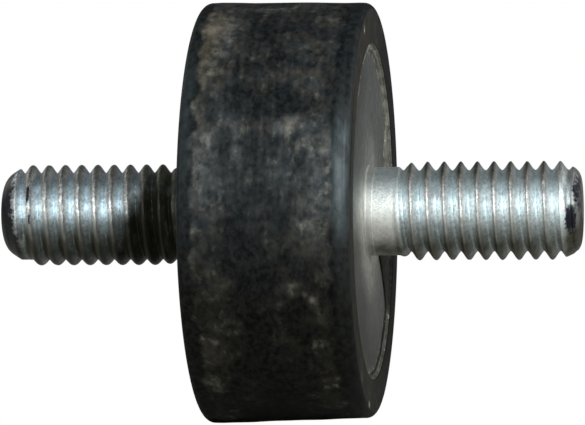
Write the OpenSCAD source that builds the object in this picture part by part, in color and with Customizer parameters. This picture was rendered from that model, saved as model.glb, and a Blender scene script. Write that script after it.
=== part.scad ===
// Rubber-to-metal mount with a threaded stud on each end, as used to carry a radiator.
// The studs lie along X, the mount is centred on the origin and +Z is up.

/* [Rubber block] */
// Diameter of the rubber at the middle of its length
rubber_d = 40; // [34:0.5:60]
// Length of the rubber, from the lip on one end to the lip on the other
rubber_l = 16; // [13:0.5:40]
// Draft of the moulded side, in degrees, with the left end the wider one
draft = 1.3; // [0:0.1:2]
// Rounding of the two outer edges
edge_r = 0.9; // [0.3:0.1:1.5]
// Width of the lip that shows round each plate
lip_w = 4; // [3.5:0.25:6]
// Height of the lip above the face of the plate
lip_h = 0.5; // [0.3:0.1:1.2]
// Rounding of the inner edge of the lip
lip_edge_r = 0.25; // [0.1:0.05:0.3]
// Rubber left between the rim of a plate and the outside
rim_cover = 2; // [1.5:0.25:3]

/* [Plates] */
// Thickness of each steel plate
plate_t = 2.5; // [1.5:0.25:3]
// Rounding of the stamped rim of a plate
plate_edge_r = 0.6; // [0.2:0.1:0.7]

/* [Studs] */
// Outside diameter of the thread
thread_d = 9.525; // [9:0.005:12]
// Length of a stud from the face of its plate to its end
stud_l = 20.25; // [14:0.25:40]
// Diameter of the plain shank that the thread is rolled on
shank_d = 8.45; // [7.5:0.05:8.8]
// Length of plain shank between the plate and the thread
neck_l = 2.7; // [1.5:0.1:4]
// Length over which the thread runs out into the shank
runout_l = 2; // [0.8:0.1:3]
// Length of the tapered point
point_l = 2.1; // [1:0.1:4]
// Diameter of the point at its flat end
point_d = 6.8; // [5:0.1:7.4]
// Rounding between the flat end of the point and its taper
point_edge_r = 1.2; // [0.1:0.1:1.5]
// Diameter of the low head behind the plate
head_d = 16; // [13:0.5:20]
// Thickness of the head
head_t = 2; // [1.5:0.1:2.2]
// Rounding of the rim of the head
head_edge_r = 0.5; // [0.2:0.1:0.7]
// Width of the ring of metal staked round the stud on the face of the plate
stake_w = 0.5; // [0.4:0.1:1.5]
// Height of the staked ring
stake_h = 0.7; // [0.3:0.1:1.2]

/* [Hidden] */
$fn = 96;
rubber_colour = [0.11, 0.11, 0.12];
plate_colour = [0.46, 0.47, 0.47];
stud_colour = [0.74, 0.76, 0.75];
// Side that a section is made for: the right end as drawn, the left end mirrored
right = 0;
left = 1;
// Places along the axis, measured from the middle of the mount to the right
lip_x = rubber_l / 2;
face_x = lip_x - lip_h;
plate_back_x = face_x - plate_t;
head_back_x = plate_back_x - head_t;
tip_x = face_x + stud_l;
// Room that a cut takes beyond the surface it opens
past = 1;

// Middle of the rounding between a flat end at end_x and a side that narrows towards it by the angle slope.
// The side has radius side_r where the axis is at zero.
function rounding_middle(end_x, side_r, slope, r) =
    [side_r - (end_x - r) * tan(slope) - r / cos(slope), end_x - r];

// Point where that rounding leaves the side
function rounding_start(middle, slope, r) = middle + r * [cos(slope), sin(slope)];

// Turns a half section, with the radius along x and the axis along y, into a solid along X
module turned() {
    rotate([0, 90, 0])
        rotate_extrude()
            children();
}

// Half section of a flat disc that starts at the axis position x and has a rounded rim
module disc_section(d, t, x, edge) {
    translate([0, x]) {
        square([d / 2 - edge, t]);
        translate([0, edge])
            square([d / 2, t - 2 * edge]);
        for (y = [edge, t - edge])
            translate([d / 2 - edge, y])
                circle(edge);
    }
}

// Half section of the rubber before anything is set into it: a drafted side between two rounded edges
module block_section() {
    right_middle = rounding_middle(lip_x, rubber_d / 2, draft, edge_r);
    left_middle = rounding_middle(lip_x, rubber_d / 2, -draft, edge_r);
    right_start = rounding_start(right_middle, draft, edge_r);
    left_start = rounding_start(left_middle, -draft, edge_r);
    polygon([
        [0, -lip_x],
        [left_middle.x, -lip_x],
        [left_start.x, -left_start.y],
        right_start,
        [right_middle.x, lip_x],
        [0, lip_x]
    ]);
    translate(right_middle)
        circle(edge_r);
    translate([left_middle.x, -left_middle.y])
        circle(edge_r);
}

// Half section of the plate as a full disc
module plate_section() {
    disc_section(rubber_d - 2 * rim_cover, plate_t, plate_back_x, plate_edge_r);
}

// Half section of the head that holds the stud behind the plate
module head_section() {
    disc_section(head_d, head_t, head_back_x, head_edge_r);
}

// Half section of the opening inside the lip, with the lip's inner edge rounded
module lip_opening_section() {
    opening_r = rubber_d / 2 - lip_w;
    translate([0, face_x])
        square([opening_r, lip_h + past]);
    translate([opening_r, lip_x - lip_edge_r])
        difference() {
            square([lip_edge_r, lip_edge_r + past]);
            translate([lip_edge_r, 0])
                circle(lip_edge_r);
        }
}

// Half section of a stud: head, shank through the plate, staked ring, neck, thread and point
module stud_section() {
    thread_x = face_x + neck_l + runout_l;
    point_x = tip_x - point_l;
    taper = atan((thread_d - point_d) / 2 / point_l);
    taper_r = point_d / 2 + tip_x * tan(taper);
    end_middle = rounding_middle(tip_x, taper_r, taper, point_edge_r);
    end_start = rounding_start(end_middle, taper, point_edge_r);
    head_section();
    polygon([
        [0, plate_back_x],
        [shank_d / 2, plate_back_x],
        [shank_d / 2, face_x],
        [shank_d / 2 + stake_w, face_x],
        [shank_d / 2, face_x + stake_h],
        [shank_d / 2, face_x + neck_l],
        [thread_d / 2, thread_x],
        [thread_d / 2, point_x],
        end_start,
        [end_middle.x, tip_x],
        [0, tip_x]
    ]);
    translate(end_middle)
        circle(point_edge_r);
}

// One plate, with the hole that the stud is pressed through
module plate(side) {
    color(plate_colour)
        turned()
            mirror([0, side])
                difference() {
                    plate_section();
                    translate([0, plate_back_x - past])
                        square([shank_d / 2, plate_t + 2 * past]);
                }
}

// One stud
module stud(side) {
    color(stud_colour)
        turned()
            mirror([0, side])
                stud_section();
}

// Rubber moulded and bonded round both plates and both heads
module rubber_block() {
    color(rubber_colour)
        turned()
            difference() {
                block_section();
                for (side = [right, left])
                    mirror([0, side]) {
                        plate_section();
                        head_section();
                        lip_opening_section();
                    }
            }
}

module left_plate() {
    plate(left);
}

module right_plate() {
    plate(right);
}

module left_stud() {
    stud(left);
}

module right_stud() {
    stud(right);
}

rubber_block();
left_plate();
right_plate();
left_stud();
right_stud();
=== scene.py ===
import math

import bpy
import numpy as np
from mathutils import Matrix, Vector


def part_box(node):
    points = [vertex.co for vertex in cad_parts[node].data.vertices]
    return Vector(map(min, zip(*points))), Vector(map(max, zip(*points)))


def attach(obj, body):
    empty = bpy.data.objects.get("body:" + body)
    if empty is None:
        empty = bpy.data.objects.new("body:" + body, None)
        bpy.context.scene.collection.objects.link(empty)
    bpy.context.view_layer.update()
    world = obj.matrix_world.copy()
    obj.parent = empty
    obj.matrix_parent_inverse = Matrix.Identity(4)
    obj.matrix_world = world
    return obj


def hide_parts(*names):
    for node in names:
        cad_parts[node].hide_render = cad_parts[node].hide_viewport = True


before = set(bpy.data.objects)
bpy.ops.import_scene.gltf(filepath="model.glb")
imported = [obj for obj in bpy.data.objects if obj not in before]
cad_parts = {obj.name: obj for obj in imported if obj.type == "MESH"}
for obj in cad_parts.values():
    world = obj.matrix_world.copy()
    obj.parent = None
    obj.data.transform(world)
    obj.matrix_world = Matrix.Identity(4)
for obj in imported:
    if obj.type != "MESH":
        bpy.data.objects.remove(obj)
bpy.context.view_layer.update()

# End plates
# A round steel disc at each end, blanked from sheet about 2.5 mm thick, its rim rounded by the press tool.
# The rubber is moulded round the discs and bonded to them, so only the face inside the rubber's lip is open.
mm = 0.001
plate_low, plate_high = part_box("right_plate")
plate_back = plate_low.x
plate_face = plate_high.x
plate_r = plate_high.z
plate_rounding = 0.6 * mm
shank_r = 8.45 / 2 * mm
lip_open_r = 16 * mm
plate_step = 0.5 * mm
plate_columns = 180
crease = math.radians(50)
face_ripple = 0.02 * mm
face_ripple_size = 6 * mm
# Grains, film, a painted highlight round the stud and painted shade on the open face: widths of the zones
# inside the lip and round the stud, and of their edges
grains_w = 1.2 * mm
film_least_w = 1.0 * mm
film_most_w = 3.0 * mm
highlight_w = 3.0 * mm
highlight_below_w = 1.8 * mm
shade_from_r = 5.5 * mm
deep_shade_from_r = 11 * mm
shade_edge = 4 * mm
lip_shadow_w = 6 * mm
lip_shadow_edge = 2.6 * mm
steel_grey = (0.228, 0.237, 0.237)
oxide_grey = (0.16, 0.165, 0.16)
pale_grain = (0.42, 0.43, 0.43)
smear_brown = (0.17, 0.16, 0.135)
plate_highlight_steel = (0.71, 0.68, 0.625)
pit_brown = (0.15, 0.15, 0.135)
plate_shade_grey = (0.085, 0.082, 0.072)
film_brown = (0.075, 0.066, 0.055)
loose_grains = (0.85, 0.84, 0.80)


def section(corners, step):
    """Half section through corners, each a row of (place on the axis, radius, rounding, tag).

    A corner with a rounding becomes the arc of that radius that touches both of its sides, taken at even
    angles. Every straight stretch is then cut into equal parts no longer than step. Returns the places, the
    radii and the tags, which run evenly from one corner's tag to the next one's.
    """
    corners = np.asarray(corners, float)
    line = [corners[:1, [0, 1, 3]]]
    for before, corner, after in zip(corners[:-2], corners[1:-1], corners[2:]):
        if corner[2] == 0:
            line.append(corner[None, [0, 1, 3]])
            continue
        ways = (before[:2] - corner[:2], after[:2] - corner[:2])
        one_side, other_side = (way / np.linalg.norm(way) for way in ways)
        half = math.acos(np.clip(one_side @ other_side, -1, 1)) / 2
        bisector = (one_side + other_side) / np.linalg.norm(one_side + other_side)
        middle = corner[:2] + bisector * corner[2] / math.sin(half)
        first = corner[:2] + one_side * corner[2] / math.tan(half) - middle
        last = corner[:2] + other_side * corner[2] / math.tan(half) - middle
        sweep = math.pi - 2 * half
        share = np.linspace(0, 1, 3 + round(sweep * 6))[:, None]
        arc = first * np.sin((1 - share) * sweep) + last * np.sin(share * sweep)
        arc = middle + arc / math.sin(sweep)
        line.append(np.column_stack((arc, np.full(len(arc), corner[3]))))
    line.append(corners[-1:, [0, 1, 3]])
    line = np.vstack(line)
    change = np.diff(line, axis=0)
    parts = np.maximum(1, np.ceil(np.linalg.norm(change[:, :2], axis=1) / step)).astype(int)
    within = np.arange(parts.sum()) - np.repeat(np.cumsum(parts) - parts, parts)
    share = (within / np.repeat(parts, parts))[:, None]
    points = np.repeat(line[:-1], parts, axis=0) + np.repeat(change, parts, axis=0) * share
    return np.vstack((points, line[-1:])).T


def angles(columns):
    """Even angles round the axis. Zero is the near side (-Y), a quarter turn is the top (+Z)."""
    return np.arange(columns) * 2 * math.pi / columns


def round_axis(along, radius, turn):
    """Points at the places along X and the radii given, at the angles turn: (x, -r cos turn, r sin turn)."""
    return np.stack((along, -radius * np.cos(turn), radius * np.sin(turn)), axis=-1)


def rising(value, start, width):
    """Even rise from 0 at start to 1 at start + width, level before and after."""
    return np.clip((value - start) / width, 0, 1)


def falling(value, end, width):
    """Even fall from 1 at end - width to 0 at end, level before and after."""
    return np.clip((end - value) / width, 0, 1)


def lumps(points, size, seed, waves=40):
    """Smooth random relief, mostly between -1 and 1: the sum of sine waves that cross the points in seeded
    directions, with wavelengths from about half of size to twice it."""
    draw = np.random.default_rng(seed)
    way = draw.normal(size=(3, waves))
    way *= 2 * math.pi / (np.linalg.norm(way, axis=0) * size * draw.uniform(0.55, 1.9, waves))
    return np.sin(points @ way + draw.uniform(0, 2 * math.pi, waves)).sum(axis=-1) / math.sqrt(waves)


def placed(name, data):
    """New object with this data, linked to the scene."""
    item = bpy.data.objects.new(name, data)
    bpy.context.scene.collection.objects.link(item)
    return item


def turned_piece(name, points, marks, ring=False):
    """Object whose faces join neighbouring rows and columns of points, the columns closing round the axis.

    The rows close too for a ring. Otherwise the first and the last row are drawn together to a point on the
    axis. marks holds a value per point under each name that the material reads.
    """
    rows, columns = points.shape[:2]
    row = np.arange(rows if ring else rows - 1)[:, None]
    column = np.arange(columns)[None, :]
    next_row = (row + 1) % rows
    next_column = (column + 1) % columns
    faces = np.stack((row * columns + column, next_row * columns + column,
                      next_row * columns + next_column, row * columns + next_column), axis=-1)
    faces = faces.reshape(-1, 4).tolist()
    vertices = points.reshape(-1, 3)
    if not ring:
        poles = points[[0, -1]].mean(axis=1) * (1, 0, 0)
        vertices = np.vstack((vertices, poles))
        first = np.arange(columns)
        last = first + (rows - 1) * columns
        pole = np.full(columns, rows * columns)
        faces += np.column_stack((pole, first, np.roll(first, -1))).tolist()
        faces += np.column_stack((last, pole + 1, np.roll(last, -1))).tolist()
    mesh = bpy.data.meshes.new(name)
    mesh.from_pydata(vertices.tolist(), [], faces)
    for mark_name, values in marks.items():
        values = np.broadcast_to(values, (rows, columns))
        ends = [] if ring else values[[0, -1]].mean(axis=1)
        layer = mesh.attributes.new(mark_name, "FLOAT", "POINT")
        layer.data.foreach_set("value", np.append(values.ravel(), ends).astype(np.float32))
    mesh.shade_smooth()
    mesh.set_sharp_from_angle(angle=crease)
    return placed(name, mesh)


def put(tree, kind, sockets=None, **settings):
    """Adds a node with these settings. A socket is given a plain value, or is linked to another's output."""
    node = tree.nodes.new(kind)
    for key, value in settings.items():
        setattr(node, key, value)
    for key, value in (sockets or {}).items():
        if isinstance(value, bpy.types.NodeSocket):
            tree.links.new(value, node.inputs[key])
        else:
            node.inputs[key].default_value = value
    return node


def calc(tree, operation, first, second, clamp=False):
    """One sum on two values."""
    return put(tree, "ShaderNodeMath", {0: first, 1: second}, operation=operation, use_clamp=clamp).outputs[0]


def times(tree, first, second):
    """Product of two values."""
    return calc(tree, "MULTIPLY", first, second)


def part_way(tree, value, low, high, soft=False):
    """How far the value has gone from low to high, from 0 to 1, evenly or with soft ends."""
    sockets = {"Value": value, "From Min": low, "From Max": high}
    kind = "SMOOTHSTEP" if soft else "LINEAR"
    return put(tree, "ShaderNodeMapRange", sockets, interpolation_type=kind).outputs[0]


def between(tree, part, low, high):
    """Value that goes from low to high as part goes from 0 to 1."""
    return put(tree, "ShaderNodeMapRange", {"Value": part, "To Min": low, "To Max": high}).outputs[0]


def blotch_group():
    """Group that lays soft-edged blotches over a piece: cloudy noise on the piece's own coordinates, cut at
    Level with edges as wide as Softness. Stretch draws them out round the axis. Cloud is the noise uncut."""
    group = bpy.data.node_groups.new("Blotches", "ShaderNodeTree")
    inputs = {"Size mm": 1.0, "Level": 0.5, "Softness": 0.1, "Place": 0.0, "Stretch": 1.0}
    for name, value in inputs.items():
        socket = group.interface.new_socket(name, in_out="INPUT", socket_type="NodeSocketFloat")
        socket.default_value = value
    for name in ("Mask", "Cloud"):
        group.interface.new_socket(name, in_out="OUTPUT", socket_type="NodeSocketFloat")
    given = put(group, "NodeGroupInput").outputs
    place = put(group, "ShaderNodeTexCoord").outputs["Object"]
    drawn_out = put(group, "ShaderNodeCombineXYZ", {0: 1.0, 1: given["Stretch"], 2: given["Stretch"]})
    place = put(group, "ShaderNodeVectorMath", {0: place, 1: drawn_out.outputs[0]}, operation="DIVIDE")
    scale = calc(group, "DIVIDE", 1 / mm, given["Size mm"])
    noise = {"Vector": place.outputs[0], "W": given["Place"], "Scale": scale, "Detail": 4.0, "Roughness": 0.6}
    cloud = put(group, "ShaderNodeTexNoise", noise, noise_dimensions="4D").outputs["Fac"]
    low = calc(group, "SUBTRACT", given["Level"], given["Softness"])
    high = calc(group, "ADD", given["Level"], given["Softness"])
    put(group, "NodeGroupOutput", {"Mask": part_way(group, cloud, low, high, soft=True), "Cloud": cloud})
    return group


blotches = blotch_group()


def blotch(tree, size, level=0.5, softness=0.1, place=0.0, stretch=1.0):
    """Outputs of the blotch group in a material, with its size in mm, cut, place in the noise and stretch."""
    sockets = {"Size mm": size, "Level": level, "Softness": softness, "Place": place, "Stretch": stretch}
    return put(tree, "ShaderNodeGroup", sockets, node_tree=blotches).outputs


def mark(tree, name):
    """Value per point that the mesh carries under this name."""
    return put(tree, "ShaderNodeAttribute", attribute_name=name).outputs["Fac"]


def blend(tree, part, one, other):
    """Colour that goes from one to the other as part goes from 0 to 1."""
    ends = [end if isinstance(end, bpy.types.NodeSocket) else (*end, 1.0) for end in (one, other)]
    return put(tree, "ShaderNodeMix", {0: part, 6: ends[0], 7: ends[1]}, data_type="RGBA").outputs[2]


def layered(tree, colour, *coats):
    """The colour under coats laid on one after another, each as how much of it there is and its colour."""
    for part, coat in coats:
        colour = blend(tree, part, colour, coat)
    return colour


def new_finish(name):
    """Material with a Principled surface, as its node tree and that surface's node."""
    material = bpy.data.materials.new(name)
    material.use_nodes = True
    tree = material.node_tree
    return material, tree, tree.nodes["Principled BSDF"]


def feed(tree, surface, values, relief, strength, depth):
    """Links the values to the surface's sockets, and lays the relief on it as a bump of this depth in mm."""
    bump = put(tree, "ShaderNodeBump", {"Strength": strength, "Distance": depth * mm, "Height": relief})
    for socket, value in {**values, "Normal": bump.outputs[0]}.items():
        tree.links.new(value, surface.inputs[socket])


def plate_steel():
    """Dull grey steel with soft blotches of oxide, pale grain and brown smears. Over these lie a painted
    highlight round the stud, dark pits, painted shade below with a painted shadow of the lip in front, the
    brown film and pale grains at the lip, where the mesh is marked with them. The film takes the metal's
    shine."""
    material, tree, surface = new_finish("Dull plate steel")
    oxide = blotch(tree, 3.0, softness=0.16, place=1)["Mask"]
    grain = blotch(tree, 0.3, 0.52, 0.09, place=2)
    smears = blotch(tree, 0.7, softness=0.15, place=18, stretch=3)["Mask"]
    pits = blotch(tree, 0.5, 0.52, 0.1, place=23, stretch=1.6)["Mask"]
    patchy = between(tree, blotch(tree, 1.2, softness=0.2, place=3)["Mask"], 0.5, 1.0)
    film = times(tree, mark(tree, "film"), patchy)
    grains = times(tree, mark(tree, "rim"), blotch(tree, 0.4, 0.57, 0.05, place=4)["Mask"])
    colour = layered(
        tree, steel_grey,
        (oxide, oxide_grey),
        (times(tree, grain["Mask"], 0.5), pale_grain),
        (times(tree, smears, 0.45), smear_brown),
        # painted highlight round the stud
        (mark(tree, "clean"), plate_highlight_steel),
        (times(tree, pits, 0.4), pit_brown),
        # painted shade below, and a painted shadow of the lip in front
        (mark(tree, "plate_shade"), plate_shade_grey),
        (film, film_brown),
        (grains, loose_grains))
    values = {"Base Color": colour, "Metallic": between(tree, film, 0.85, 0.25),
              "Roughness": between(tree, oxide, 0.42, 0.55)}
    feed(tree, surface, values, relief=grain["Cloud"], strength=0.25, depth=0.03)
    return material


plate_finish = plate_steel()
plate_corners = [
    (plate_back, shank_r, 0, 0),
    (plate_back, plate_r, plate_rounding, 0),
    (plate_face, plate_r, plate_rounding, 0),
    (plate_face, shank_r, 0, 0),
]


def plate_marks(radius, turn):
    """Grains, film and painted light and shade on a plate, from the radius and the angle of each point.

    rim: loose grains just inside the lip, fewer of them below. film: brown film, falling with the square of
    the distance from the lip, wider in front and on top. clean: a painted highlight round the stud, falling
    off as a normal curve, wider below and weaker in front of the top. The last mark is painted shade on the
    lower half, growing outwards, and a painted shadow of the lip in a band inside the lip in front.
    """
    upper = np.clip(np.sin(turn), 0, 1)
    lower = np.clip(-np.sin(turn), 0, 1)
    near = np.clip(np.cos(turn) + 0.5, 0, 1)
    rim = rising(radius, lip_open_r - grains_w, grains_w / 2) * (1 - 0.6 * lower)
    film_w = film_least_w + (film_most_w - film_least_w) * np.maximum(near, upper)
    film = rising(radius, lip_open_r - film_w, film_w) ** 2
    # Painted highlight round the stud: a lighter zone that stands in for the neck's light on the plate
    clean = np.exp(-((radius - shank_r) / (highlight_w + highlight_below_w * lower)) ** 2)
    clean = clean * (1 - 0.6 * np.clip(1.8 * upper, 0, 1) * near)
    clean = clean + 0.14 * lower * np.clip(0.2 - np.cos(turn), 0, 1)
    # Painted shade on the lower half, deeper further out, and a painted shadow of the lip in a band inside it
    # in front
    plate_shade = 0.5 * lower * np.clip(0.6 + np.cos(turn), 0, 1) + 0.4 * rising(lower, 0.5, 0.45)
    plate_shade = plate_shade * rising(radius, shade_from_r, shade_edge)
    plate_shade = plate_shade + 0.4 * lower * rising(radius, deep_shade_from_r, shade_edge)
    plate_shade = np.maximum(plate_shade, 0.55 * near ** 2 * rising(radius, lip_open_r - lip_shadow_w, lip_shadow_edge))
    return {"rim": rim, "film": film, "clean": clean, "plate_shade": plate_shade}


def end_plate(side, seed):
    """Disc with a hole, turned from its half section. Side 1 is the right end and -1 the left one, mirrored.
    The open face is sunk a little by a shallow random ripple."""
    along, radius, _ = section(plate_corners, plate_step)[:, ::side, None]
    turn = angles(plate_columns)
    along = along * side + 0 * turn
    radius = radius + 0 * turn
    is_open = np.isclose(np.abs(along), plate_face) & (radius > shank_r + plate_step) & (radius < lip_open_r)
    ripple = face_ripple * np.abs(lumps(round_axis(along, radius, turn), face_ripple_size, seed))
    along = along - side * is_open * ripple
    name = {1: "right_end_plate", -1: "left_end_plate"}[side]
    plate = turned_piece(name, round_axis(along, radius, turn), plate_marks(radius, turn), ring=True)
    plate.data.materials.append(plate_finish)
    return plate


for side, node, seed in ((1, "right_plate", 11), (-1, "left_plate", 12)):
    plate = end_plate(side, seed)
    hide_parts(node)
    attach(plate, "root")

# Studs
# A steel stud at each end with a rolled 3/8-16 thread, bright zinc plated. Its low head sits behind the plate
# and a ring of metal is staked round it on the plate's face, so the stud can't turn or pull out.
stud_low, stud_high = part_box("right_stud")
head_back = stud_low.x
head_r = stud_high.z
head_rounding = 0.5 * mm
head_pole_r = 0.6 * mm
tip_extra = 0.08 * mm
tip = stud_high.x + tip_extra
tip_pole_r = 0.8 * mm
point_l = 2.1 * mm
cone_rounding = 0.06 * mm
thread_r = 9.525 / 2 * mm
pitch = 25.4 / 16 * mm
thread_depth = 1.04 * mm
root_rounding = 0.42 * mm
neck_l = 2.7 * mm
runout_l = 2.0 * mm
root_runout_l = 0.7 * mm
stake_w = 0.3 * mm
stake_h = 0.72 * mm
bead_h = 0.04 * mm
bead_rounding = 0.07 * mm
bead_foot_rounding = 0.1 * mm
wear = 0.06 * mm
wear_size = 1.3 * mm
wear_rounding = 0.03 * mm
off_centre = 0.09 * mm
blank_step = 1.0 * mm
neck_step = 0.1 * mm
thread_step = 0.05 * mm
stud_columns = 160
# Dirt that fills the last threads on the left stud's underside
clog_from = 24.9 * mm
clog_edge = 0.5 * mm
clog_r = 4.42 * mm
# Reach of the marks, and width of their edges: residue from the left plate with the rubber block's shadow
# painted in, painted dark reflections at the ends, darkening at the ends, bare metal from the right plate
residue_and_shadow_l = 8.3 * mm
residue_and_shadow_below_l = 2.6 * mm
residue_and_shadow_edge = 2.8 * mm
dark_end_l = 1.85 * mm
dark_end_below_l = 0.8 * mm
dark_end_edge = 1.1 * mm
end_darkening_l = 1.6 * mm
end_darkening_edge = 1.0 * mm
dark_point_l = 1.2 * mm
dark_point_edge = 0.5 * mm
neck_edge = 0.9 * mm
flare_extra = 0.2 * mm
flare_edge = 0.7 * mm
shade_lift = 0.3 * mm
axis_gap = 0.1 * mm
# Dark patches on the points, painted dark reflections: place along the axis, angle round it in degrees, half
# length, half width, strength, with the lengths in mm
right_dark_reflections = [(27.1, -14, 0.42, 1.2, 0.95), (27.1, -36, 0.45, 1.0, 0.45), (27.6, 36, 0.3, 1.9, 0.75),
                (27.3, -62, 0.5, 1.2, 0.45)]
left_dark_reflections = [(-24.9, 20, 0.14, 0.7, 1.0), (-24.7, -8, 0.10, 0.8, 0.8)]
zinc_blue = (0.78, 0.87, 0.90)
zinc_pale = (0.90, 0.94, 0.94)
# Bluer zinc of the left stud, partly a painted bluish reflection
passivated_and_reflected_blue = (0.70, 0.83, 0.93)
flank_grey = (0.90, 0.91, 0.90)
flank_warm = (1.0, 0.97, 0.92)
crest_grey = (0.60, 0.585, 0.56)
crest_passivated = (0.40, 0.40, 0.39)
pearl_glint = (1.0, 0.96, 0.92)
neck_grey = (0.68, 0.67, 0.64)
neck_bright = (1.0, 0.975, 0.91)
# Painted light: the neck's bluish tint above and warm tint below, and the flare's painted shade below
neck_above = (0.66, 0.74, 0.77)
neck_below = (0.94, 0.91, 0.85)
flare_above = (0.70, 0.68, 0.63)
flare_below = (0.64, 0.635, 0.60)
mottle_grey = (0.41, 0.43, 0.43)
glint = (1.0, 0.98, 0.96)
dark_point_grey = (0.33, 0.325, 0.29)
# Brown grime, also laid as painted shade on the studs' undersides
grime_and_shade_brown = (0.10, 0.096, 0.070)
# Dark navy of the painted dark reflections on the points
reflection_navy = (0.024, 0.022, 0.034)
residue_and_shade_root = (0.030, 0.031, 0.020)
residue_and_shade_crest = (0.013, 0.012, 0.008)
residue_and_shade_above = (0.088, 0.085, 0.058)


def rounded_max(first, second, rounding):
    """The larger of two values, with the corner where they cross rounded off."""
    return (first + second + np.sqrt((first - second) ** 2 + rounding ** 2)) / 2


def thread_drop(turns, rounding, crest_flat):
    """Depth of the thread below its crest: 60 degree flanks between a crest crest_flat wide, rounded by
    rounding, and a rounded root. turns counts whole pitches, and a crest lies at each whole number."""
    from_crest = np.abs((turns + 0.5) % 1 - 0.5) * pitch
    flank = (from_crest - crest_flat / 2) / math.tan(math.radians(30))
    return -rounded_max(-rounded_max(flank, 0, rounding), -thread_depth, root_rounding)


def thread_zinc(tree, height, rise, patches, passivated):
    """Colour of the thread and how far up its flank a point is: bluish in the roots, greyer or warmer up the
    flanks, rubbed grey on the crests, with pale specks on crests that don't face down, painted glints."""
    flank = times(tree, part_way(tree, height, 0.25, 0.7), 0.6)
    warm = blotch(tree, 0.5, softness=0.15, place=19)["Mask"]
    crest = part_way(tree, height, 0.62, 0.85)
    pearl_glints = times(tree, crest, blotch(tree, 0.24, 0.51, 0.04, place=13)["Mask"])
    # painted glints: kept off crests that face down, where the light doesn't fall
    pearl_glints = times(tree, pearl_glints, part_way(tree, rise, -0.3, 0.0))
    colour = layered(
        tree, zinc_blue,
        (patches, zinc_pale),
        (passivated, passivated_and_reflected_blue),
        (flank, blend(tree, warm, flank_grey, flank_warm)),
        (crest, blend(tree, passivated, crest_grey, crest_passivated)),
        (pearl_glints, pearl_glint))
    return colour, flank


def neck_zinc(tree, rise, above):
    """Colours of the bare neck and of the flare at the plate: bright grains on grey, bluer above, and warmer
    below than above. These shifts are painted light: a bluish tint from above and a warm one from the floor,
    and painted shade that makes the flare darker below."""
    below = part_way(tree, rise, 0.25, -0.4)
    grains = blotch(tree, 0.2, softness=0.1, place=7)["Mask"]
    neck = layered(tree, neck_grey, (grains, neck_bright), (above, neck_above), (below, neck_below))
    return neck, blend(tree, below, flare_above, flare_below)


def zinc_plate():
    """Bright zinc on the thread, the neck and the flare, mottled grey, with painted glints on the flanks.
    Over it lie painted dark reflections on the points, brown grime with painted shade underneath, and the
    bonding residue with the rubber block's shadow and shade painted in, which is darkest on the crests and
    paler on top. Rolling has left fine lines round the thread."""
    material, tree, surface = new_finish("Zinc plate")
    height = mark(tree, "height")
    rise = mark(tree, "rise")
    neck = mark(tree, "neck")
    grain = blotch(tree, 0.16, softness=0.2, place=5)
    patches = blotch(tree, 1.1, softness=0.15, place=6)
    passivated = times(tree, mark(tree, "passivated"), between(tree, patches["Mask"], 0.7, 1.0))
    colour, flank = thread_zinc(tree, height, rise, patches["Mask"], passivated)
    patchy = between(tree, blotch(tree, 0.6, softness=0.12, place=20)["Mask"], 0.35, 1.0)
    above = times(tree, part_way(tree, rise, 0.2, 0.8), patchy)
    neck_colour, flare_colour = neck_zinc(tree, rise, above)

    coarse = times(tree, blotch(tree, 0.5, 0.55, 0.09, place=22)["Mask"], passivated)
    mottle = calc(tree, "MAXIMUM", blotch(tree, 0.3, 0.52, 0.07, place=17)["Mask"], coarse)
    mottle = times(tree, mottle, between(tree, passivated, 0.5, 0.85))
    mottle = times(tree, mottle, between(tree, neck, 1.0, 0.3))
    # painted glints: white specks on the flanks
    glints = times(tree, blotch(tree, 0.4, 0.68, 0.03, place=15)["Mask"], flank)
    dark_point = times(tree, mark(tree, "dark_point"), between(tree, grain["Mask"], 0.55, 1.0))
    grime_and_shade = calc(tree, "ADD", mark(tree, "grime_and_shade"), between(tree, patches["Cloud"], -0.4, 0.4), clamp=True)
    dark_reflection = between(tree, blotch(tree, 0.45, place=16)["Cloud"], -1.1, 1.1)
    dark_reflection = part_way(tree, calc(tree, "ADD", mark(tree, "dark_reflection"), dark_reflection), 0.3, 0.8, soft=True)
    residue_and_shade = between(tree, blotch(tree, 0.6, place=8, stretch=2.5)["Cloud"], -0.6, 0.6)
    residue_and_shade = part_way(tree, calc(tree, "ADD", mark(tree, "residue_and_shade"), residue_and_shade), 0.0, 1.0, soft=True)
    colour = layered(
        tree, colour,
        (neck, neck_colour),
        (mark(tree, "flare"), flare_colour),
        (mottle, mottle_grey),
        (glints, glint),
        (dark_point, dark_point_grey),
        (grime_and_shade, grime_and_shade_brown),
        (dark_reflection, reflection_navy),
        (residue_and_shade, layered(tree, residue_and_shade_root, (height, residue_and_shade_crest), (above, residue_and_shade_above))))

    covered = calc(tree, "MAXIMUM", residue_and_shade, times(tree, dark_reflection, 0.6))
    metal = between(tree, flank, 1.0, 0.85)
    metal = calc(tree, "SUBTRACT", metal, times(tree, covered, 0.25), clamp=True)
    rough = calc(tree, "ADD", between(tree, grain["Cloud"], 0.28, 0.62), times(tree, neck, 0.12))
    rough = calc(tree, "SUBTRACT", rough, times(tree, passivated, 0.12))
    rolled = blotch(tree, 0.16, place=21, stretch=40)["Cloud"]
    rolled = times(tree, rolled, between(tree, neck, 1.0, 0.0))
    relief = calc(tree, "ADD", times(tree, rolled, 4.0), grain["Cloud"])
    values = {"Base Color": colour, "Metallic": metal, "Roughness": rough}
    feed(tree, surface, values, relief, strength=0.6, depth=0.03)
    return material


zinc_finish = zinc_plate()


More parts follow.
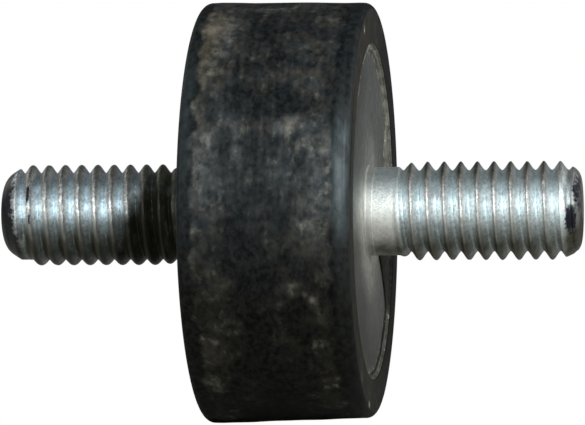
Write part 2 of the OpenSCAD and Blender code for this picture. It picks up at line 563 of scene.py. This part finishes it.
def stud(side, start, crest_flat, crest_rounding, point_r, end_rounding, coat, seed):
    """Head, shank, staked ring and neck turned from their half section, then the thread, where the tag is 1.

    Its crest runs where place / pitch + turn / 360 is a whole number plus start, so it is right-handed on
    either end. Its root is at full depth soon after the neck, its crest only at the end of the run-out, and
    the cone of the point, which narrows to point_r, cuts it off. Random wear takes the crests down in places.
    A coat of old bonding agent thickens the underside, twice as much in the root as on the crest, and dirt
    fills the last threads there. Returns the points, their height from 0 in the root to 1 on the crest, and
    the way the flank faces, a sine wave that is 1 on the flank towards +X.
    """
    blank = section([
        (head_back, head_pole_r, 0, 0),
        (head_back, head_r, head_rounding, 0),
        (plate_back, head_r, head_rounding, 0),
        (plate_back, shank_r, 0, 0),
        (plate_face, shank_r, 0, 0),
    ], blank_step)
    neck = section([
        (plate_face, shank_r + stake_w, 0, 0),
        (plate_face, shank_r + bead_h, 0.9 * (stake_w - bead_h), 0),
        (plate_face + stake_h, shank_r + bead_h, bead_rounding, 0),
        (plate_face + stake_h + bead_h, shank_r, bead_foot_rounding, 0),
        (plate_face + neck_l, shank_r, 0, 0),
    ], neck_step)
    wound = section([
        (plate_face + neck_l, thread_r, 0, 1),
        (tip - point_l, thread_r, 0, 1),
        (tip, point_r, end_rounding, 1),
        (tip, tip_pole_r, 0, 1),
    ], thread_step)
    turn = angles(stud_columns)
    along, outline, tag = np.hstack((blank, neck, wound))[:, ::side, None]
    along = along * side + 0 * turn
    outline = outline + 0 * turn
    is_wound = tag == 1
    outwards = along * side
    from_neck = outwards - plate_face - neck_l
    full = np.clip(from_neck / runout_l, 0, 1)
    full = full * full * (3 - 2 * full)
    worn = wear * np.clip(lumps(round_axis(along, thread_r + 0 * along, turn), wear_size, seed), -0.3, 2)
    turns = along / pitch + turn / (2 * math.pi) - start
    drop = thread_drop(turns, crest_rounding, crest_flat)
    rise = thread_r - rounded_max(drop, worn, wear_rounding) - shank_r
    wound_r = shank_r + rise * np.where(rise > 0, full, np.clip(from_neck / root_runout_l, 0, 1))
    radius = np.where(is_wound, -rounded_max(-wound_r, -outline, cone_rounding), outline)
    depth = np.clip(drop / thread_depth, 0, 1)
    thick = coat * rising(-np.sin(turn), 0.45, 0.55) ** 1.5 * (1 + depth) * full
    radius = radius + thick * np.clip((tip - outwards) / point_l, 0, 1)
    clogged = (coat > 0) * rising(outwards, clog_from, clog_edge) * rising(-np.sin(turn), 0.5, 0.3)
    radius = radius + clogged * (np.minimum(outline, clog_r) - radius)
    full = full * falling(outwards, tip - 0.7 * point_l, 0.4 * point_l)
    height = np.where(is_wound, 1 - depth, 0.4) * full + 0.4 * (1 - full)
    return round_axis(along, radius, turn), height, full * np.sin(2 * math.pi * (turns - 0.09))


def upwards(points):
    """How far up a point looks from the axis: the sine of its angle, 1 on top and -1 underneath."""
    return points[..., 2] / np.maximum(np.hypot(points[..., 1], points[..., 2]), axis_gap)


def residue_and_rubber_shadow(points):
    """Dark bonding agent round the left stud's base, with the rubber block's shadow on it painted in: an even
    fall to nothing at a distance from the plate, longer on the underside and a little weaker on top."""
    from_plate = -points[..., 0] - plate_face
    upper = np.clip(points[..., 2] / thread_r, 0, 1)
    lower = falling(points[..., 2] / thread_r, 0.35, 1.35) ** 0.6
    return falling(from_plate, residue_and_shadow_l + residue_and_shadow_below_l * lower, residue_and_shadow_edge) * (1 - 0.2 * upper)


def underside_shade(points):
    """Painted shade along the underside, rising evenly from a little below the middle."""
    return 0.9 * rising(-upwards(points), 0.22, 0.6)


def turned_by(turn, degrees):
    """Angle from the given one, in radians, the short way round."""
    return (turn - math.radians(degrees) + math.pi) % (2 * math.pi) - math.pi


def dark_reflections(points, places):
    """Painted dark reflections: the largest of strength times exp(-(u^4 + v^4) / 2) over the places, where u
    and v are the distances along the axis and round it in half lengths and half widths."""
    turn = np.arctan2(points[..., 2], -points[..., 1])
    radius = np.hypot(points[..., 1], points[..., 2])
    dark_reflection = np.zeros(points.shape[:2])
    for where, degrees, half_l, half_w, strength in places:
        across = turned_by(turn, degrees) * radius / (half_w * mm)
        spread = ((points[..., 0] - where * mm) / (half_l * mm)) ** 4 + across ** 4
        dark_reflection = np.maximum(dark_reflection, strength * np.exp(-spread / 2))
    return dark_reflection


def dark_reflection_end(points):
    """Painted dark reflection on the left stud's end: an even rise along its taper, starting earlier
    underneath.
    """
    lower = np.clip(-points[..., 2] / thread_r, 0, 1)
    return 1.15 * rising(-points[..., 0], tip - dark_end_l - dark_end_below_l * lower, dark_end_edge)


def end_darkening_and_crest_grime(points, height, on_crests):
    """Marks that both studs share: darker towards the bottom of the point, and grime on the crests of the
    upper side.
    """
    lower = np.clip(0.5 - points[..., 2] / thread_r, 0, 1)
    at_end = 0.6 * lower * rising(np.abs(points[..., 0]), tip - end_darkening_l, end_darkening_edge)
    return at_end + on_crests * rising(upwards(points), 0.35, 0.45) * height ** 1.5


def right_stud_marks(points, height):
    """Bare neck and flare next to the plate, painted dark reflections on the point, and painted shade
    underneath, heavier on the crests and lighter on the neck and the flare, with grime on the upper crests
    and the point darker towards its bottom."""
    neck = falling(points[..., 0], plate_face + neck_l + neck_edge, neck_edge)
    flare = falling(points[..., 0], plate_face + stake_h + flare_extra, flare_edge)
    under = underside_shade(points)
    grime_and_shade = under * (1 - 0.6 * neck * np.clip(2.6 - 2.6 * under, 0, 1)) * (0.5 + 0.8 * height)
    grime_and_shade = (grime_and_shade + 0.2 * neck * rising(under, 0.5, 0.4) ** 2) * (1 - 0.55 * flare)
    grime_and_shade = grime_and_shade + end_darkening_and_crest_grime(points, height, 1.0)
    return {"neck": neck, "flare": flare, "grime_and_shade": grime_and_shade, "dark_reflection": dark_reflections(points, right_dark_reflections),
            "residue_and_shade": 0.0, "passivated": 0.0}


def left_stud_marks(points, height, flank_side):
    """Bluer zinc all over, partly a painted bluish reflection, bonding residue from the plate with the rubber
    block's shadow painted in and painted shade along the underside, a painted dark reflection on the end with
    more dark patches, and painted shade underneath, heavier in the roots and on the flanks that face left."""
    under = underside_shade(points - (0, 0, shade_lift))
    grime_and_shade = under * (1.4 - 0.3 * height) * (1 - 0.5 * flank_side)
    grime_and_shade = grime_and_shade + end_darkening_and_crest_grime(points, height, 0.7)
    dark_end = dark_reflection_end(points)
    residue_and_shade = np.maximum(residue_and_rubber_shadow(points), 0.4 * dark_end)
    residue_and_shade = np.maximum(residue_and_shade, 0.7 * underside_shade(points) ** 3)
    dark_reflection = np.maximum(dark_reflections(points, left_dark_reflections), dark_end)
    return {"neck": 0.0, "flare": 0.0, "grime_and_shade": grime_and_shade, "dark_reflection": dark_reflection, "residue_and_shade": residue_and_shade, "passivated": 0.65}


right_points, right_height, _ = stud(
    1, start=0.53, crest_flat=0.14 * mm, crest_rounding=0.20 * mm,
    point_r=3.8 * mm, end_rounding=1.4 * mm, coat=0, seed=21)
left_points, left_height, left_flank_side = stud(
    -1, start=0.40, crest_flat=0.32 * mm, crest_rounding=0.30 * mm,
    point_r=3.4 * mm, end_rounding=1.9 * mm, coat=0.26 * mm, seed=22)
left_points = left_points - (0, 0, off_centre)
right_marks = right_stud_marks(right_points, right_height)
left_marks = left_stud_marks(left_points, left_height, left_flank_side)
for name, node, points, height, marks in (
        ("right_threaded_stud", "right_stud", right_points, right_height, right_marks),
        ("left_threaded_stud", "left_stud", left_points, left_height, left_marks)):
    marks["height"] = height
    marks["rise"] = upwards(points)
    # Painted dark reflection: duller, darker metal on the last part of each point
    marks["dark_point"] = 0.85 * rising(np.abs(points[..., 0]), tip - dark_point_l, dark_point_edge)
    piece = turned_piece(name, points, marks)
    piece.data.materials.append(zinc_finish)
    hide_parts(node)
    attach(piece, "root")

# Rubber block
# Black rubber moulded in one piece round both plates and both stud heads, drafted a little towards the right
# end. It laps the rim of each plate as a low lip, and thin flash has crept over the plate's face in places.
# The longest tongue of it, below and behind the right stud, is a dark sheet laid where the stud's shadow
# falls: a painted shadow.
rubber_low, rubber_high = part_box("rubber_block")
lip_face = rubber_high.x
rubber_r = 20 * mm
draft = math.tan(math.radians(1.1))
edge_rounding = 0.72 * mm
lip_rounding = 0.25 * mm
lip_edge = 0.08 * edge_rounding
flash_t = 0.14 * mm
flash_w = 0.15 * mm
flash_line = 0.18 * mm
flash_root_rounding = 0.1 * mm
flash_rounding = 0.05 * mm
rubber_columns = 320
side_step = 0.2 * mm
hidden_step = 1.5 * mm
side_tolerance = 0.002 * mm
trim_tolerance = 0.05 * mm
face_tolerance = 0.01 * mm
side_lump = 0.03 * mm
side_lump_size = 5 * mm
side_lump_edge = 0.8 * mm
shoulder_w = 1.55 * mm
shoulder_drop = 0.4 * mm
mould_shift = 0.1 * mm
outside_r = plate_r + 0.5 * mm
bloom_and_sheen_r = plate_r + 0.8 * mm
# Tongues of flash, one of them (the right end's at 200 degrees) a dark sheet laid where the stud's shadow
# falls, a painted shadow: which end, angle round the axis in degrees, reach inwards in mm, half spread in
# degrees
flash_and_shadow_tongues = [
    (1, 157, 3.6, 10), (1, 200, 7.8, 11), (1, 8, 1.5, 50), (1, 60, 0.8, 20), (1, 300, 0.9, 14),
    (-1, 30, 1.3, 16), (-1, 140, 0.9, 25), (-1, 250, 1.5, 18),
]
# Scuffs that hold dust, or have lost it where the strength is below 0: place along the axis, angle round it
# in degrees, half length, half width round it, strength, with the lengths in mm
scuffs = [
    (-5.5, 56.5, 1.7, 2.6, 1.0), (-6.5, 43.5, 0.5, 4.5, 0.4), (-6.4, 29.5, 0.9, 3.0, 0.35),
    (-6.1, 11.5, 1.4, 3.2, 0.55), (-2.4, 20.5, 2.2, 1.2, 0.3), (2.2, 21, 1.1, 0.75, 1.4),
    (5.7, 14.5, 0.5, 0.8, 0.9), (3.6, 14.5, 0.3, 0.7, 0.6), (-0.4, 35.5, 3.4, 0.8, 0.3),
    (3.7, 31.5, 0.6, 0.6, 0.25), (3.6, 26.5, 2.2, 1.8, -0.3), (-1.0, 69.5, 2.6, 0.9, 0.35),
    (-4.9, -43.5, 1.5, 2.4, 0.3), (-3.7, -21.5, 0.9, 0.5, 0.4), (2.7, -22.5, 0.9, 0.4, 0.25),
    (4.3, -27, 0.4, 0.5, 0.1), (3.0, -11.5, 1.3, 1.2, 0.2), (4.6, -6.5, 1.0, 1.5, 0.3),
    (-6.7, -7.5, 0.4, 4.0, 0.4), (5.2, 2.5, 1.2, 3.0, 0.3), (5.7, 6.5, 0.9, 4.8, 0.75),
    (-0.6, 14.5, 4.0, 5.0, 0.25), (0.0, 27.5, 8.0, 2.4, -0.28),
]
far_scuffs = 22
# Pale scrapes, in the same order as scuffs, with the tilt in degrees before the strength
scrapes = [
    (2.32, 20.8, 0.85, 0.28, 30, 0.5), (5.68, 13.8, 0.35, 0.4, 0, 0.45), (3.25, 14.7, 0.2, 0.5, 0, 0.4),
    (4.38, -26.9, 0.22, 0.25, 0, 0.4), (2.72, -22.2, 0.6, 0.2, 0, 0.3), (-4.92, -39.4, 0.3, 0.3, 0, 0.3),
    (-5.7, 56.4, 0.9, 1.3, 40, 0.4),
]
# Painted glints in the right lip, as pale specks: radius in mm and angle in degrees, with half their size
# along both in mm
lip_glints = [(18.4, 65.6), (19.0, -78.3)]
glint_half = (0.25, 0.3)
# Bands along the axis, in mm: middle and half width of those with more or less dust, then where dust, gloss
# and the bloom with its painted sheen start or stop at the left and right end, and the width of their edges
left_band = (-5.6, 1.5)
cleaner_band = (-0.9, 2.6)
right_band = (5.2, 1.4)
dust_ends = (-7.3, 7.15)
dust_edge = 1.0
gloss_from = (-6.9, 6.6)
gloss_edge = 0.4
bloom_and_sheen_from = (-6.5, 6.35)
bloom_and_sheen_to = 8.1
bloom_and_sheen_edges = (0.5, 0.3)
# Angle round the axis, in degrees, where the key lamp's light is brightest
light_from = 8
rubber_black = (0.0121, 0.0147, 0.0166)
rubber_grey = (0.0168, 0.0180, 0.0176)
rubber_pores = (0.0030, 0.0036, 0.0040)
shaded_rubber = (0.0080, 0.0074, 0.0056)
shaded_pores = (0.0008, 0.0007, 0.0005)
dust_grey = (0.089, 0.094, 0.095)
dust_tan = (0.120, 0.102, 0.077)
painted_lit_dust = (0.075, 0.085, 0.090)
dust_brown = (0.128, 0.104, 0.070)
shaded_dust = (0.057, 0.050, 0.038)
smudge_grey = (0.195, 0.184, 0.152)
scrape_tan = (0.30, 0.255, 0.20)
lip_brown = (0.050, 0.044, 0.037)
trim_grey = (0.30, 0.285, 0.235)
chip_pale = (0.85, 0.82, 0.74)
bloom_and_sheen_blue = (0.080, 0.105, 0.112)


def half_section(side):
    """Half section of one end, from the middle of the side over the lip to the edge of the flash, then along
    the plate and the stud's head to the axis. The tag is 1 on the flash's edge, 0 where a row stays put."""
    end_r = rubber_r - side * draft * lip_face
    flash_edge = (plate_face, lip_open_r - flash_w - flash_t / 2, 0, 1)
    seen = section([
        (0, rubber_r, 0, 0),
        (lip_face, end_r, edge_rounding, 0),
        (lip_face, lip_open_r, lip_rounding, 0),
        (plate_face + flash_t, lip_open_r, flash_root_rounding, 0),
        (plate_face + flash_t, lip_open_r - flash_w, flash_rounding, 1),
        flash_edge,
    ], side_step)
    hidden = section([
        flash_edge,
        (plate_face, plate_r, plate_rounding, 0),
        (plate_back, plate_r, plate_rounding, 0),
        (plate_back, head_r, 0, 0),
        (head_back, head_r, head_rounding, 0),
        (head_back, head_pole_r, 0, 0),
    ], hidden_step)
    return np.hstack((seen, hidden[:, 1:]))


def bell(distance):
    """Smooth hump, exp(-distance^2): 1 at distance 0 and nearly 0 beyond 2."""
    return np.exp(-distance ** 2)


def flash_reach(end, turn):
    """How far the flash reaches in over a plate: an uneven line all round, plus a flat-topped hump with a
    ragged end for each tongue."""
    ring = np.stack((np.cos(turn), np.sin(turn), 0 * turn + end), axis=-1)
    reach = flash_line * (1 + lumps(ring, 0.35, 31))
    ragged = 1 + 0.09 * lumps(ring, 0.2, 32)
    for side, degrees, length, spread in flash_and_shadow_tongues:
        if side == end:
            off = np.abs(turned_by(turn, degrees) / math.radians(spread))
            reach = reach + length * mm * bell(off ** 2.2) * ragged
    return np.maximum(reach, 0)


def rubber_finish():
    """Black rubber, satin where clean and finely pored, under dust that cloudy noise and specks break up. The
    dust is cooler where the key lamp shines, a painted tint of its light, and brown at the upper left and
    smudged paler, and both are darker below, as painted shade. Over them come scrapes, the browner lip, pale
    torn trim with its chips and painted glints, and a bluish bloom with a painted sheen on the glossy edges."""
    material, tree, surface = new_finish("Black rubber")
    speckle = blotch(tree, 0.75, 0.51, 0.2, place=10, stretch=1.2)
    grain = blotch(tree, 0.2, place=11)["Cloud"]
    tint = blotch(tree, 1.5, softness=0.15, place=14)["Mask"]
    pores = blotch(tree, 0.5, softness=0.14, place=25, stretch=1.3)["Mask"]
    under = mark(tree, "under")

    def specked(name, least, most):
        """Mark of this name, broken up by the specks: least of it between them and most of it on them."""
        return times(tree, mark(tree, name), between(tree, speckle["Mask"], least, most))

    clean = layered(
        tree, rubber_black,
        (tint, rubber_grey),
        (pores, rubber_pores),
        # painted shade below
        (times(tree, under, 0.92), blend(tree, pores, shaded_rubber, shaded_pores)))
    dusty = layered(
        tree, dust_grey,
        (tint, dust_tan),
        # painted tint of the key lamp's light where it is brightest
        (mark(tree, "lit"), painted_lit_dust),
        (mark(tree, "brown"), dust_brown),
        (under, shaded_dust))
    cloudy = between(tree, blotch(tree, 3.0, place=9, stretch=1.2)["Cloud"], -0.62, 0.66)
    dust = part_way(tree, calc(tree, "ADD", mark(tree, "dust"), cloudy), 0.0, 1.0, soft=True)
    dust = times(tree, dust, between(tree, speckle["Mask"], 0.19, 0.97))
    smudges = times(tree, blotch(tree, 1.1, 0.60, 0.08, place=12, stretch=1.3)["Mask"], dust)
    chips = times(tree, mark(tree, "trim_and_glints"), blotch(tree, 0.5, 0.64, 0.03, place=24)["Mask"])
    hazy = between(tree, blotch(tree, 0.9, 0.48, 0.12, place=26, stretch=2)["Mask"], 0.25, 1.0)
    colour = layered(
        tree, clean,
        (dust, dusty),
        (smudges, smudge_grey),
        (specked("scraped", 0.5, 1.0), scrape_tan),
        (specked("lip", 0.4, 0.9), lip_brown),
        (specked("trim_and_glints", 0.3, 1.0), trim_grey),
        (chips, chip_pale),
        (times(tree, mark(tree, "bloom_and_sheen"), hazy), bloom_and_sheen_blue))
    surface.inputs["Coat Roughness"].default_value = 0.36
    surface.inputs["Specular IOR Level"].default_value = 0.075
    values = {"Base Color": colour, "Roughness": between(tree, dust, 0.6, 0.8),
              "Coat Weight": specked("edge", 0.85, 0.5)}
    relief = calc(tree, "ADD", grain, times(tree, speckle["Cloud"], 0.8))
    feed(tree, surface, values, relief, strength=0.4, depth=0.04)
    return material


# The moulded shape, then the same with the side's slight lumps and the shoulder worn down on the near side
left_half = half_section(-1)[:, ::-1] * np.array([[-1], [1], [1]])
rubber_along, rubber_radius, follows_flash = np.hstack((left_half[:, :-1], half_section(1)))[:, :, None]
rubber_turn = angles(rubber_columns)
rubber_along = rubber_along + 0 * rubber_turn
is_side = np.isclose(rubber_radius, rubber_r - draft * rubber_along, atol=side_tolerance)
reach = np.where(rubber_along > 0, flash_reach(1, rubber_turn), flash_reach(-1, rubber_turn))
rubber_radius = rubber_radius - follows_flash * reach
moulded_points = round_axis(rubber_along, rubber_radius, rubber_turn)
from_ends = falling(np.abs(rubber_along), lip_face - edge_rounding, side_lump_edge) * is_side
rubber_radius = rubber_radius + from_ends * side_lump * lumps(moulded_points, side_lump_size, 33)
near_side = bell(turned_by(rubber_turn, 5) / math.radians(60))
shoulder = rising(rubber_along, lip_face - shoulder_w, shoulder_w) ** 1.4
rubber_radius = rubber_radius - shoulder_drop * near_side * shoulder * (rubber_radius > outside_r)
rubber_points = round_axis(rubber_along, rubber_radius, rubber_turn)
rubber_points[..., 2] += mould_shift * rubber_along / lip_face * (rubber_radius > outside_r)

# For the marks: the place along the axis in mm, the lip, and how far the side looks down
place = rubber_along / mm
is_lip = rising(np.abs(rubber_along), lip_face - lip_edge, lip_edge)
below = np.clip(-np.sin(rubber_turn) / 0.3, 0, 1)
under = np.clip(-np.sin(rubber_turn) / 0.5, 0, 1)


def off_angle(degrees, spread):
    """Angle round the axis from the given one, measured in spreads, both in degrees."""
    return turned_by(rubber_turn, degrees) / math.radians(spread)


def band(middle, half_w):
    """Ridge round the side: a bell of the distance along the axis from its middle, in half widths."""
    return bell((place - middle) / half_w)


def spot(where, degrees, half_l, half_w, tilt=0):
    """Hump on the side: a bell of the distance from its middle, in half lengths and half widths, along axes
    turned by the tilt."""
    across = place - where
    over = turned_by(rubber_turn, degrees) * rubber_r / mm
    cos, sin = math.cos(math.radians(tilt)), math.sin(math.radians(tilt))
    return bell(np.hypot((across * cos + over * sin) / half_l, (over * cos - across * sin) / half_w))


def rubber_dust():
    """Dust on the side and the lips: a level, more along both edges and less between, streaks round the side
    that give way to small lumps below, and the scuffs, with seeded ones on the far side. It stops at uneven
    lines short of the rounded edges, and is thinner below and on the far part of the lips."""
    dust = 0.325 + 0.16 * band(*left_band) - 0.12 * band(*cleaner_band)
    below_top = falling(turned_by(rubber_turn, 0), math.radians(62), math.radians(25))
    dust = dust + (0.24 * below_top - 0.08) * band(*right_band)
    streaks = lumps(moulded_points * (1 / 0.5, 1 / 7, 1 / 7), 1 * mm, 34)
    dust = dust + (0.10 - 0.08 * below) * streaks + 0.08 * below * lumps(moulded_points, 1.6 * mm, 37)
    for where, degrees, half_l, half_w, strength in scuffs:
        dust = dust + strength * spot(where, degrees, half_l, half_w)
    draw = np.random.default_rng(35)
    seeded = zip(draw.uniform(-6.5, 6.5, far_scuffs), draw.uniform(85, 290, far_scuffs),
                 draw.uniform(0.5, 2.2, far_scuffs), draw.uniform(0.6, 3.0, far_scuffs))
    for where, degrees, half_l, half_w in seeded:
        dust = dust + 0.4 * spot(where, degrees, half_l, half_w)
    uneven = 0.3 * lumps(moulded_points, 2.2 * mm, 36)
    inside = np.minimum(rising(place, dust_ends[0] - uneven, dust_edge),
                        falling(place, dust_ends[1] + uneven, dust_edge))
    dust = dust * np.clip(is_side * inside + is_lip, 0, 1) + 0.5 * is_side * (inside - 1)
    dust = dust - 0.16 * below * is_side
    far = np.clip(-np.cos(rubber_turn), 0, 1)
    return np.where(is_side | (is_lip > 0), dust, -0.6) - 0.5 * is_lip * far


def rubber_scrapes():
    """Pale scrapes on the side: the largest of their tilted humps."""
    scraped = np.zeros(place.shape)
    for where, degrees, half_l, half_w, tilt, strength in scrapes:
        scraped = np.maximum(scraped, strength * spot(where, degrees, half_l, half_w, tilt))
    return scraped * is_side


def rubber_trim_and_glints():
    """Pale torn rubber on the lip's inner wall and the flash, mostly on the upper half and not on the longest
    tongue, which stays dark as a painted shadow, and painted glints in the right lip."""
    on_flash = (rubber_radius < lip_open_r + trim_tolerance) & (is_lip < 0.5)
    on_flash = on_flash & (np.abs(rubber_along) > plate_face - face_tolerance)
    trim_and_glints = on_flash * np.clip(0.7 + 1.6 * np.sin(rubber_turn), np.where(follows_flash > 0, 0.12, 0.6), 1)
    # The tongue near 200 degrees is a painted shadow of the stud, so it keeps dark rubber
    trim_and_glints = trim_and_glints * (1 - 0.75 * bell(off_angle(203, 14) ** 2))
    # painted glints in the right lip, as pale specks
    for where, degrees in lip_glints:
        across = (rubber_radius / mm - where) / glint_half[0]
        over = turned_by(rubber_turn, degrees) * where / glint_half[1]
        trim_and_glints = trim_and_glints + 2 * bell(np.hypot(across, over)) * is_lip * (rubber_along > 0)
    return trim_and_glints


def rubber_gloss():
    """Gloss on the rounded edges, strongest on the near side and much stronger at the right end."""
    left, right = gloss_from
    edges = np.maximum(0.15 * (left - place) / gloss_edge, rising(place, right, gloss_edge))
    return edges * (0.05 + 0.95 * bell(off_angle(light_from, 30))) * (1 - is_lip)


def rubber_bloom_and_sheen():
    """Bluish bloom with a painted sheen, on the near side of both rounded edges, stronger on the worn right
    shoulder.
    """
    inner, outer = bloom_and_sheen_edges
    left = np.minimum(falling(place, bloom_and_sheen_from[0], inner), rising(place, -bloom_and_sheen_to, outer))
    right = np.minimum(rising(place, bloom_and_sheen_from[1], inner), falling(place, bloom_and_sheen_to, outer))
    # painted sheen: strongest where the key lamp's light falls
    right = right * (0.03 + 0.62 * bell(off_angle(light_from, 16) ** 2) + 0.12 * bell(off_angle(14.5, 4)))
    return (right + 0.2 * left * bell(off_angle(26, 18))) * (rubber_radius > bloom_and_sheen_r)


# The lip is browner in front and darker towards the far side and below; the darkening below is painted shade
lip_tone = (0.3 + 0.7 * rising(np.cos(rubber_turn), -0.6, 0.8)) * (1 - 0.4 * under)
rubber = turned_piece("moulded_rubber_block", rubber_points, {
    "dust": rubber_dust(),
    "brown": 0.85 * bell(np.hypot((place + 6.1) / 1.3, off_angle(50, 24))),
    "lit": 0.7 * bell(off_angle(light_from, 20)),
    "under": under,
    "scraped": rubber_scrapes(),
    "lip": is_lip * lip_tone,
    "trim_and_glints": rubber_trim_and_glints(),
    "edge": rubber_gloss(),
    "bloom_and_sheen": rubber_bloom_and_sheen(),
})
rubber.data.materials.append(rubber_finish())
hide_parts("rubber_block")
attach(rubber, "root")

# Camera
# The photograph's view, from the right of square on and level with the floor, as a long lens sees it.
# The scale is the photograph's pixels for each millimetre at the mount's middle, which lies at middle_px.
scene = bpy.context.scene
scene.view_settings.view_transform = "Standard"
photo_w, photo_h = 585, 425
view_azimuth = 8.0
view_roll = 0.06
view_distance = 450 * mm
view_scale = 10.435
middle_px = (291.47, 211.65)
floor_z = rubber_low.z


def direction(azimuth, elevation):
    """Unit vector from the origin towards a direction in radians, azimuth 0 being in front (-Y)."""
    level = math.cos(elevation)
    return Vector((math.sin(azimuth) * level, -math.cos(azimuth) * level, math.sin(elevation)))


azimuth, roll = math.radians(view_azimuth), math.radians(view_roll)
back = direction(azimuth, math.asin(floor_z / view_distance))
right = Vector((math.cos(azimuth), math.sin(azimuth), 0))
up = back.cross(right)
right, up = right * math.cos(roll) + up * math.sin(roll), up * math.cos(roll) - right * math.sin(roll)
camera_data = bpy.data.cameras.new("camera")
camera_data.sensor_width = 36
camera_data.lens = camera_data.sensor_width * view_scale * view_distance / mm / photo_w
camera_data.shift_x = (photo_w / 2 - middle_px[0]) / photo_w
camera_data.shift_y = (middle_px[1] - photo_h / 2) / photo_w
camera_data.clip_start = 0.01
camera = placed("camera", camera_data)
camera.matrix_world = Matrix((right, up, back)).transposed().to_4x4()
camera.location = back * view_distance
scene.camera = camera

# Floor and backdrop
# A plain pale floor that the block stands on, and a white card behind the mount that fills the picture.
# The card is white to the camera and to the metal; the floor is lit by the lamps and keeps the shadow.
floor_r = 3.0
floor_sides = 72
floor_colour = (0.70, 0.675, 0.62, 1)
card_behind = 1.2
card_half = (0.13, 0.10)
card_colour = (0.8, 0.8, 0.8, 1)


def stage_piece(name, points, faces, material):
    """Floor or backdrop mesh."""
    mesh = bpy.data.meshes.new(name)
    mesh.from_pydata(points.tolist(), [], faces)
    mesh.materials.append(material)
    piece = placed(name, mesh)


floor_material, tree, surface = new_finish("Pale floor")
surface.inputs["Base Color"].default_value = floor_colour
surface.inputs["Roughness"].default_value = 0.9
surface.inputs["Specular IOR Level"].default_value = 0.0
around = angles(floor_sides)
floor_points = np.column_stack((np.cos(around) * floor_r, np.sin(around) * floor_r, 0 * around + floor_z))
stage_piece("floor", floor_points, [list(range(floor_sides))], floor_material)

card_material, tree, surface = new_finish("White card")
surface.inputs["Base Color"].default_value = card_colour
glow = put(tree, "ShaderNodeEmission", {"Color": (1, 1, 1, 1), "Strength": 1.0})
path = put(tree, "ShaderNodeLightPath").outputs
seen = calc(tree, "MAXIMUM", path["Is Camera Ray"], path["Is Glossy Ray"])
seen = calc(tree, "MAXIMUM", seen, path["Is Transmission Ray"])
shown = put(tree, "ShaderNodeMixShader", {0: seen, 1: surface.outputs[0], 2: glow.outputs[0]})
tree.links.new(shown.outputs[0], tree.nodes["Material Output"].inputs["Surface"])
card_middle = -back * card_behind
card_points = np.array([card_middle + right * across * card_half[0] + up * rise * card_half[1]
                        for across, rise in ((-1, -1), (1, -1), (1, 1), (-1, 1))])
stage_piece("white_card", card_points, [[0, 1, 2, 3]], card_material)

# Light
# One large soft lamp in front, a little to the right of the camera and above it, slightly blue. Weaker ones
# stand at the left and right front, above, and at both sides behind. The surround is plain grey.
surround_grey = (0.114, 0.119, 0.120, 1)
white = (1.0, 1.0, 1.0)
warm_white = (1.0, 0.97, 0.92)
cool_white = (0.94, 0.98, 1.0)
sky_white = (0.82, 0.95, 1.0)
key_white = (0.86, 0.96, 1.0)
world = bpy.data.worlds.new("Plain surround")
world.use_nodes = True
world.node_tree.nodes["Background"].inputs["Color"].default_value = surround_grey
scene.world = world


def soft_lamp(name, azimuth, elevation, power, colour=white, distance=0.9, width=0.5, height=0.5):
    """Area lamp that faces the origin from the direction given in degrees, azimuth 0 being in front (-Y)."""
    way = direction(math.radians(azimuth), math.radians(elevation))
    data = bpy.data.lights.new(name, "AREA")
    data.shape = "RECTANGLE"
    data.size = width
    data.size_y = height
    data.energy = power
    data.color = colour
    lamp = placed(name, data)
    lamp.location = way * distance
    lamp.rotation_mode = "QUATERNION"
    lamp.rotation_quaternion = way.to_track_quat("Z", "Y")


soft_lamp("key_lamp", 14, 13, power=5.7, colour=key_white, distance=0.8, width=0.75)
soft_lamp("left_lamp", -52, 15, power=1.3, colour=warm_white, distance=0.8, width=0.25, height=0.4)
soft_lamp("right_lamp", 64, 19, power=1.8, colour=cool_white, distance=0.8, width=0.25, height=0.4)
soft_lamp("top_lamp", 10, 58, power=0.8, colour=sky_white)
soft_lamp("far_right_lamp", 125, 30, power=0.8)
soft_lamp("far_left_lamp", 236, 32, power=0.8)
